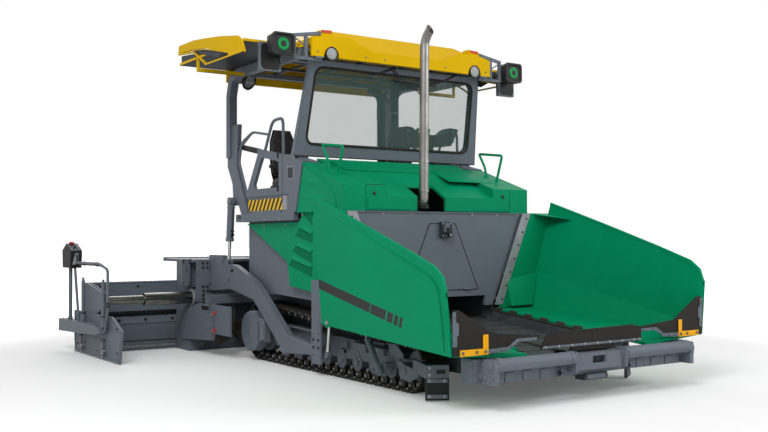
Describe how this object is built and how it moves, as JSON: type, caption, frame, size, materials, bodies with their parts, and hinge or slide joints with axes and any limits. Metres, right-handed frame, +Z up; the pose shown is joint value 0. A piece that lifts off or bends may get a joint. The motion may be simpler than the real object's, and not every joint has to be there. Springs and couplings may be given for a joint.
{
  "type": "tracked asphalt paver",
  "caption": "Tracked asphalt paver: folding hopper with push rollers, slat conveyors, operator stand under a roof with sliding awnings, and a lifting, extending screed.",
  "frame": {"origin": "on the ground at the middle of the machine's length and width", "axes": "+X to the machine's left, +Y to the rear, from the hopper to the screed, +Z up"},
  "size_m": [5.6, 6.9, 3.86],
  "materials": {
    "green_paint": "gloss",
    "grey_paint": "satin",
    "dark_paint": "satin",
    "yellow_paint": "gloss",
    "pale_steel": "satin",
    "track_steel": "worn",
    "rubber": "matt",
    "chrome": "polished",
    "pipe_steel": "satin",
    "black_plastic": "matt",
    "fabric": "matt",
    "glass": "clear"
  },
  "bodies": {
    "tractor": {"track_left": "track_steel", "track_right": "track_steel", "track_frame_left": "grey_paint", "track_frame_right": "grey_paint", "chassis_frame": "grey_paint", "engine_block": "dark_paint", "hopper_floor": "track_steel", "slat_conveyors": "track_steel", "hopper_bulkhead": "grey_paint", "front_apron": "rubber", "side_panels": "green_paint", "exhaust_pipe": "pipe_steel", "operator_platform": "grey_paint", "side_consoles": "grey_paint", "extraction_ducts": "dark_paint", "windscreen_frame": "grey_paint", "windscreen_glass": "glass", "roof_frame": "grey_paint", "roof_shell": "yellow_paint", "light_carriers": "grey_paint", "corner_lamps": "black_plastic", "tow_posts": "grey_paint", "auger_beam": "grey_paint"},
    "wing_left": {"hopper_wing_left": "green_paint", "wing_flap_left": "rubber"},
    "wing_right": {"hopper_wing_right": "green_paint", "wing_flap_right": "rubber"},
    "wing_barrel_left": {"wing_barrel_left": "grey_paint"},
    "wing_barrel_right": {"wing_barrel_right": "grey_paint"},
    "wing_rod_left": {"wing_rod_left": "chrome"},
    "wing_rod_right": {"wing_rod_right": "chrome"},
    "push_beam": {"push_beam": "grey_paint"},
    "push_roller_left": {"push_roller_left": "grey_paint"},
    "push_roller_right": {"push_roller_right": "grey_paint"},
    "hood": {"hood": "green_paint"},
    "operator_console": {"operator_console": "black_plastic"},
    "seat_left": {"seat_left": "fabric"},
    "seat_right": {"seat_right": "fabric"},
    "roof_extension_left": {"roof_extension_left": "yellow_paint"},
    "roof_extension_right": {"roof_extension_right": "yellow_paint"},
    "screed": {"tow_arms": "grey_paint", "screed_main": "grey_paint"},
    "lift_barrels": {"lift_barrels": "grey_paint"},
    "lift_rods": {"lift_rods": "chrome"},
    "tube_stage_left": {"tube_stage_left": "pale_steel"},
    "tube_stage_right": {"tube_stage_right": "pale_steel"},
    "screed_extension_left": {"screed_extension_left": "grey_paint", "end_plate_left": "grey_paint", "end_frame_left": "grey_paint"},
    "screed_extension_right": {"screed_extension_right": "grey_paint", "end_plate_right": "grey_paint", "end_frame_right": "grey_paint"},
    "auger_left": {"auger_left": "track_steel"},
    "auger_right": {"auger_right": "track_steel"}
  },
  "joints": [
    {"name": "wing_fold_left", "type": "hinge", "parent": "tractor", "child": "wing_left", "pos_m": [0.725, -1.15, 0.65], "axis": [0, -0.9955, -0.0946], "range_deg": [0, 45]},
    {"name": "wing_barrel_swing_left", "type": "hinge", "parent": "tractor", "child": "wing_barrel_left", "pos_m": [1.256, -1.784, 0.163], "axis": [0.9845, -0.0489, 0.1684], "range_deg": [-1, 21.95]},
    {"name": "wing_rod_slide_left", "type": "slide", "parent": "wing_barrel_left", "child": "wing_rod_left", "axis": [-0.0943, 0.6621, 0.7435], "range_m": [-0.005, 0.3176]},
    {"name": "wing_fold_right", "type": "hinge", "parent": "tractor", "child": "wing_right", "pos_m": [-0.725, -1.15, 0.65], "axis": [0, 0.9955, 0.0946], "range_deg": [0, 45]},
    {"name": "wing_barrel_swing_right", "type": "hinge", "parent": "tractor", "child": "wing_barrel_right", "pos_m": [-1.256, -1.784, 0.163], "axis": [0.9845, 0.0489, -0.1684], "range_deg": [-1, 21.95]},
    {"name": "wing_rod_slide_right", "type": "slide", "parent": "wing_barrel_right", "child": "wing_rod_right", "axis": [0.0943, 0.6621, 0.7435], "range_m": [-0.005, 0.3176]},
    {"name": "push_beam_swing", "type": "hinge", "parent": "tractor", "child": "push_beam", "pos_m": [0, -3.21, 0.3], "axis": [0, 0, 1], "range_deg": [-4, 4]},
    {"name": "push_roller_spin_left", "type": "hinge", "parent": "push_beam", "child": "push_roller_left", "pos_m": [0.7675, -3.39, 0.395], "axis": [1, 0, 0], "continuous": true},
    {"name": "push_roller_spin_right", "type": "hinge", "parent": "push_beam", "child": "push_roller_right", "pos_m": [-0.7675, -3.39, 0.395], "axis": [1, 0, 0], "continuous": true},
    {"name": "hood_lift", "type": "hinge", "parent": "tractor", "child": "hood", "pos_m": [0, -0.13, 2.3], "axis": [-1, 0, 0], "range_deg": [0, 40]},
    {"name": "console_travel", "type": "slide", "parent": "tractor", "child": "operator_console", "axis": [1, 0, 0], "range_m": [-1.3, 0]},
    {"name": "seat_turn_left", "type": "hinge", "parent": "tractor", "child": "seat_left", "pos_m": [0.87, 0.58, 2.06], "axis": [0, 0, 1], "range_deg": [-22, 22]},
    {"name": "roof_slide_left", "type": "slide", "parent": "tractor", "child": "roof_extension_left", "axis": [-1, 0, 0], "range_m": [0, 0.55]},
    {"name": "seat_turn_right", "type": "hinge", "parent": "tractor", "child": "seat_right", "pos_m": [-0.87, 0.58, 2.06], "axis": [0, 0, 1], "range_deg": [-22, 22]},
    {"name": "roof_slide_right", "type": "slide", "parent": "tractor", "child": "roof_extension_right", "axis": [1, 0, 0], "range_m": [0, 0.55]},
    {"name": "screed_lift", "type": "hinge", "parent": "tractor", "child": "screed", "pos_m": [0, -0.64, 0.253], "axis": [1, 0, 0], "range_deg": [0, 5.5]},
    {"name": "lift_barrel_swing", "type": "hinge", "parent": "tractor", "child": "lift_barrels", "pos_m": [0, 1.49, 1.9], "axis": [1, 0, 0], "range_deg": [-8.81, 0.5]},
    {"name": "lift_rod_slide", "type": "slide", "parent": "lift_barrels", "child": "lift_rods", "axis": [0, 0.0942, -0.9956], "range_m": [-0.2133, 0.004]},
    {"name": "extension_slide_left", "type": "slide", "parent": "screed", "child": "screed_extension_left", "axis": [1, 0, 0], "range_m": [-1.1, 0.3]},
    {"name": "stage_slide_left", "type": "slide", "parent": "screed", "child": "tube_stage_left", "axis": [1, 0, 0], "range_m": [-0.61, 0.17]},
    {"name": "auger_spin_left", "type": "hinge", "parent": "tractor", "child": "auger_left", "pos_m": [0.7, 1.7, 0.37], "axis": [1, 0, 0], "continuous": true},
    {"name": "extension_slide_right", "type": "slide", "parent": "screed", "child": "screed_extension_right", "axis": [-1, 0, 0], "range_m": [-1.1, 0.3]},
    {"name": "stage_slide_right", "type": "slide", "parent": "screed", "child": "tube_stage_right", "axis": [-1, 0, 0], "range_m": [-0.61, 0.17]},
    {"name": "auger_spin_right", "type": "hinge", "parent": "tractor", "child": "auger_right", "pos_m": [-0.7, 1.7, 0.37], "axis": [1, 0, 0], "continuous": true}
  ],
  "couplings": [
    {"joint": "wing_barrel_swing_left", "follows": "wing_fold_left", "ratio": 0.46565},
    {"joint": "wing_rod_slide_left", "follows": "wing_fold_left", "m_per_rad": 0.39804},
    {"joint": "wing_barrel_swing_right", "follows": "wing_fold_right", "ratio": 0.46565},
    {"joint": "wing_rod_slide_right", "follows": "wing_fold_right", "m_per_rad": 0.39804},
    {"joint": "lift_barrel_swing", "follows": "screed_lift", "ratio": -1.5106},
    {"joint": "lift_rod_slide", "follows": "screed_lift", "m_per_rad": -2.1804},
    {"joint": "stage_slide_left", "follows": "extension_slide_left", "ratio": 0.55},
    {"joint": "stage_slide_right", "follows": "extension_slide_right", "ratio": 0.55}
  ]
}
